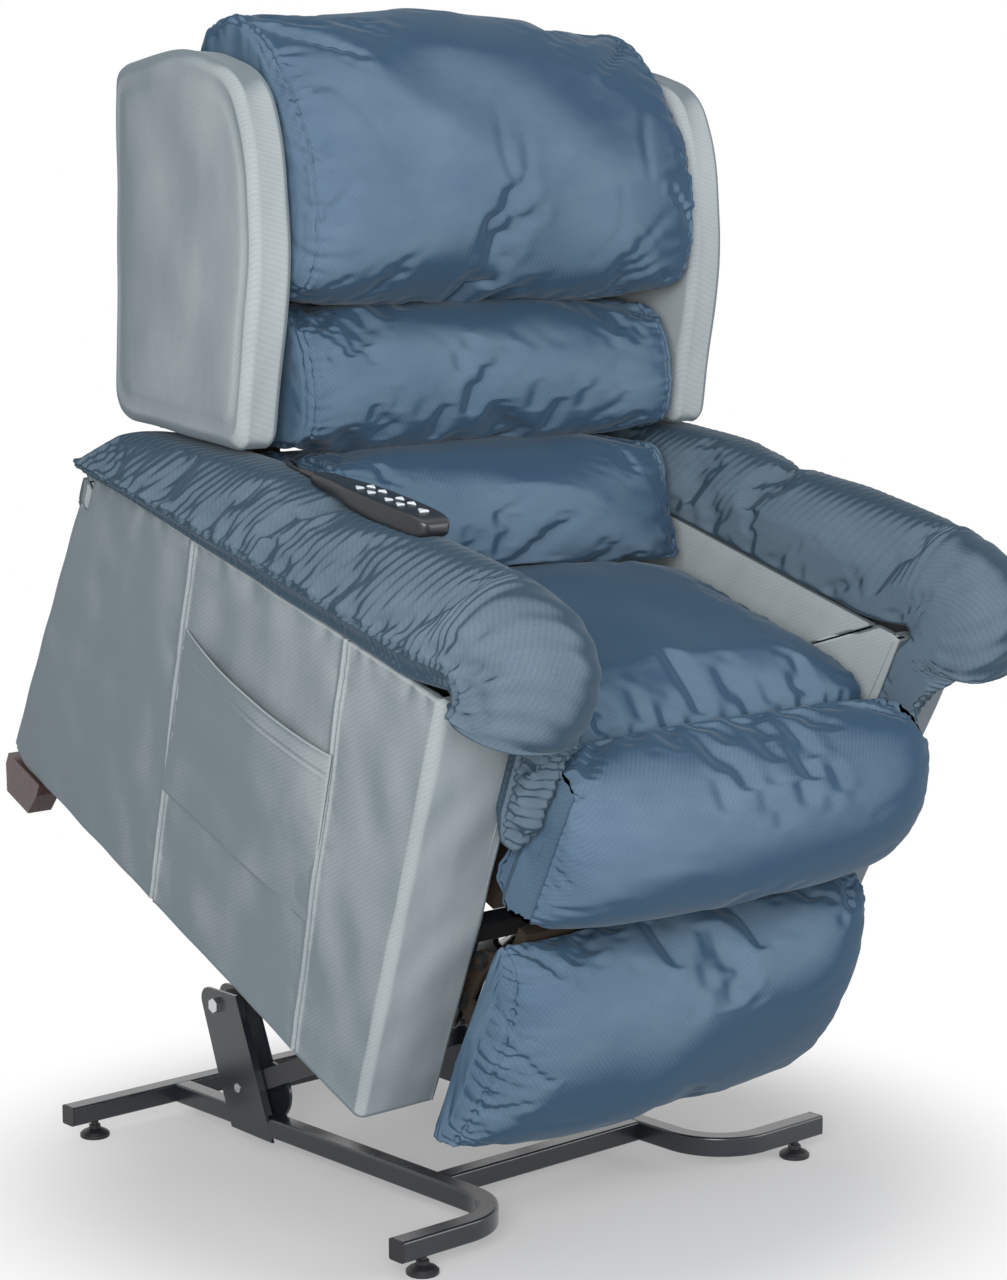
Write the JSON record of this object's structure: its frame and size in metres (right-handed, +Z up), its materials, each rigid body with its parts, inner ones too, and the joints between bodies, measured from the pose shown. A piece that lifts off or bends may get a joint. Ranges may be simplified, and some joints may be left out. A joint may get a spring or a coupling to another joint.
{
  "type": "lift recliner chair",
  "caption": "Power lift recliner that stands its sitter up: padded seat, reclining back and folding legrest on a four-bar lift base of square steel tube",
  "frame": {"origin": "middle of the part's width and length, at the level of the levelling feet's undersides", "axes": "+Z up; the sitter faces -Y; +X is the sitter's left, across the seat; the rest pose is the lift fully up"},
  "size_m": [0.911, 1.0218, 1.4365],
  "materials": {
    "steel_base": "satin",
    "steel_lift": "satin",
    "zinc": "satin",
    "black_plastic": "matte",
    "motor_plastic": "matte",
    "rod_steel": "polished",
    "spring_steel": "satin",
    "frame_wood": "raw",
    "foot_wood": "varnished",
    "side_fabric": "napped",
    "cushion_fabric": "napped",
    "strap_webbing": "woven",
    "handset_plastic": "matte",
    "button_plastic": "matte",
    "cord_rubber": "matte"
  },
  "bodies": {
    "base": {"rear_cross_tube": "steel_base", "front_cross_tube": "steel_base", "right_side_rail": "steel_base", "left_side_rail": "steel_base", "tube_end_plugs": "black_plastic", "lift_towers": "steel_base", "tower_cross_tube": "steel_base", "tower_pivots": "zinc"},
    "foot_rear_right": {"levelling_foot_rear_right": "black_plastic"},
    "foot_rear_left": {"levelling_foot_rear_left": "black_plastic"},
    "foot_front_right": {"levelling_foot_front_right": "black_plastic"},
    "foot_front_left": {"levelling_foot_front_left": "black_plastic"},
    "lift_arms": {"upper_lift_arms": "steel_lift"},
    "lift_links": {"lower_lift_links": "steel_lift"},
    "lift_housing": {"lift_motor": "motor_plastic"},
    "lift_rod": {"lift_motor_rod": "rod_steel"},
    "seat_unit": {"lift_frame": "steel_lift", "lift_frame_pivots": "zinc", "mechanism_side_plates": "steel_lift", "seat_frame": "frame_wood", "seat_springs": "spring_steel", "control_box": "black_plastic", "right_arm_body": "side_fabric", "left_arm_body": "side_fabric", "arm_facings": "side_fabric", "arm_frames": "frame_wood", "right_arm_pad": "cushion_fabric", "left_arm_pad": "cushion_fabric", "magazine_pocket": "side_fabric", "wooden_feet": "foot_wood", "seat_cushion": "cushion_fabric", "seat_front_roll": "cushion_fabric", "handset": "handset_plastic", "handset_cord": "cord_rubber"},
    "back": {"back_frame": "frame_wood", "back_brackets": "steel_lift", "back_straps": "strap_webbing", "back_rear_panel": "side_fabric", "right_wing": "side_fabric", "left_wing": "side_fabric", "head_pillow": "cushion_fabric", "middle_pillow": "cushion_fabric", "lumbar_pillow": "cushion_fabric"},
    "recline_housing": {"recline_motor": "motor_plastic"},
    "recline_rod": {"recline_motor_rod": "rod_steel"},
    "drive_links": {"legrest_drive": "steel_lift"},
    "control_links": {"legrest_control_links": "steel_lift"},
    "front_links": {"legrest_front_links": "steel_lift"},
    "tie_links": {"legrest_tie_links": "steel_lift"},
    "footrest": {"footrest_board": "frame_wood", "footrest_pad": "cushion_fabric"},
    "button_1_cap": {"button_1": "button_plastic"},
    "button_2_cap": {"button_2": "button_plastic"},
    "button_3_cap": {"button_3": "button_plastic"},
    "button_4_cap": {"button_4": "button_plastic"},
    "button_5_cap": {"button_5": "button_plastic"},
    "button_6_cap": {"button_6": "button_plastic"},
    "button_7_cap": {"button_7": "button_plastic"},
    "button_8_cap": {"button_8": "button_plastic"},
    "button_9_cap": {"button_9": "button_plastic"}
  },
  "joints": [
    {"name": "lift", "type": "hinge", "parent": "base", "child": "lift_arms", "pos_m": [0, 0.3371, 0.17859], "axis": [1, 0, 0], "range_deg": [0, 22.51]},
    {"name": "seat_tilt", "type": "hinge", "parent": "lift_arms", "child": "seat_unit", "pos_m": [0, -0.10891, 0.3065], "axis": [-1, 0, 0], "range_deg": [0, 48]},
    {"name": "lift_link_swing", "type": "hinge", "parent": "base", "child": "lift_links", "pos_m": [0, 0.2941, 0.07665], "axis": [1, 0, 0], "range_deg": [0, 24]},
    {"name": "lift_motor_swing", "type": "hinge", "parent": "base", "child": "lift_housing", "pos_m": [0, 0.2601, 0.1237], "axis": [1, 0, 0], "range_deg": [0, 17]},
    {"name": "lift_rod_slide", "type": "slide", "parent": "lift_housing", "child": "lift_rod", "axis": [0, -0.8424, 0.5389], "range_m": [-0.092, 0]},
    {"name": "recline", "type": "hinge", "parent": "seat_unit", "child": "back", "pos_m": [0, 0.20037, 0.8358], "axis": [-1, 0, 0], "range_deg": [0, 32]},
    {"name": "recline_motor_swing", "type": "hinge", "parent": "seat_unit", "child": "recline_housing", "pos_m": [0, 0.32869, 0.61979], "axis": [-1, 0, 0], "range_deg": [0, 3.5]},
    {"name": "recline_rod_slide", "type": "slide", "parent": "recline_housing", "child": "recline_rod", "axis": [0, -0.812, 0.5837], "range_m": [0, 0.0545]},
    {"name": "legrest", "type": "hinge", "parent": "seat_unit", "child": "drive_links", "pos_m": [0, -0.21507, 0.44898], "axis": [-1, 0, 0], "range_deg": [0, 111]},
    {"name": "legrest_control_swing", "type": "hinge", "parent": "seat_unit", "child": "control_links", "pos_m": [0, -0.17134, 0.4451], "axis": [-1, 0, 0], "range_deg": [0, 111.5]},
    {"name": "legrest_front_swing", "type": "hinge", "parent": "drive_links", "child": "front_links", "pos_m": [0, -0.07578, 0.33497], "axis": [1, 0, 0], "range_deg": [0, 111.5]},
    {"name": "footrest_turn", "type": "hinge", "parent": "front_links", "child": "footrest", "pos_m": [0, -0.25308, 0.36263], "axis": [-1, 0, 0], "range_deg": [0, 87.5]},
    {"name": "legrest_tie_swing", "type": "hinge", "parent": "drive_links", "child": "tie_links", "pos_m": [0, -0.03709, 0.3033], "axis": [1, 0, 0], "range_deg": [0, 108.5]},
    {"name": "level_rear_right", "type": "slide", "parent": "base", "child": "foot_rear_right", "axis": [0, 0, 1], "range_m": [-0.006, 0.006]},
    {"name": "level_rear_left", "type": "slide", "parent": "base", "child": "foot_rear_left", "axis": [0, 0, 1], "range_m": [-0.006, 0.006]},
    {"name": "level_front_right", "type": "slide", "parent": "base", "child": "foot_front_right", "axis": [0, 0, 1], "range_m": [-0.006, 0.006]},
    {"name": "level_front_left", "type": "slide", "parent": "base", "child": "foot_front_left", "axis": [0, 0, 1], "range_m": [-0.006, 0.006]},
    {"name": "press_button_1", "type": "slide", "parent": "seat_unit", "child": "button_1_cap", "axis": [0, 0.1908, -0.9816], "range_m": [0, 0.001], "stiffness_N_per_m": 400, "springref_m": -0.0005},
    {"name": "press_button_2", "type": "slide", "parent": "seat_unit", "child": "button_2_cap", "axis": [0, 0.1908, -0.9816], "range_m": [0, 0.001], "stiffness_N_per_m": 400, "springref_m": -0.0005},
    {"name": "press_button_3", "type": "slide", "parent": "seat_unit", "child": "button_3_cap", "axis": [0, 0.1908, -0.9816], "range_m": [0, 0.001], "stiffness_N_per_m": 400, "springref_m": -0.0005},
    {"name": "press_button_4", "type": "slide", "parent": "seat_unit", "child": "button_4_cap", "axis": [0, 0.1908, -0.9816], "range_m": [0, 0.001], "stiffness_N_per_m": 400, "springref_m": -0.0005},
    {"name": "press_button_5", "type": "slide", "parent": "seat_unit", "child": "button_5_cap", "axis": [0, 0.1908, -0.9816], "range_m": [0, 0.001], "stiffness_N_per_m": 400, "springref_m": -0.0005},
    {"name": "press_button_6", "type": "slide", "parent": "seat_unit", "child": "button_6_cap", "axis": [0, 0.1908, -0.9816], "range_m": [0, 0.001], "stiffness_N_per_m": 400, "springref_m": -0.0005},
    {"name": "press_button_7", "type": "slide", "parent": "seat_unit", "child": "button_7_cap", "axis": [0, 0.1908, -0.9816], "range_m": [0, 0.001], "stiffness_N_per_m": 400, "springref_m": -0.0005},
    {"name": "press_button_8", "type": "slide", "parent": "seat_unit", "child": "button_8_cap", "axis": [0, 0.1908, -0.9816], "range_m": [0, 0.001], "stiffness_N_per_m": 400, "springref_m": -0.0005},
    {"name": "press_button_9", "type": "slide", "parent": "seat_unit", "child": "button_9_cap", "axis": [0, 0.1908, -0.9816], "range_m": [0, 0.001], "stiffness_N_per_m": 400, "springref_m": -0.0005}
  ],
  "couplings": [
    {"joint": "seat_tilt", "follows": "lift", "ratio": 2.1106},
    {"joint": "lift_link_swing", "follows": "lift", "ratio": 1.0348},
    {"joint": "lift_motor_swing", "follows": "lift", "ratio": 0.73357},
    {"joint": "lift_rod_slide", "follows": "lift", "m_per_rad": -0.23243},
    {"joint": "recline_motor_swing", "follows": "recline", "ratio": 0.098},
    {"joint": "recline_rod_slide", "follows": "recline", "m_per_rad": 0.096323},
    {"joint": "legrest_control_swing", "follows": "legrest", "ratio": 1},
    {"joint": "legrest_front_swing", "follows": "legrest", "ratio": 1},
    {"joint": "footrest_turn", "follows": "legrest", "ratio": 0.78378},
    {"joint": "legrest_tie_swing", "follows": "legrest", "ratio": 0.97185}
  ]
}
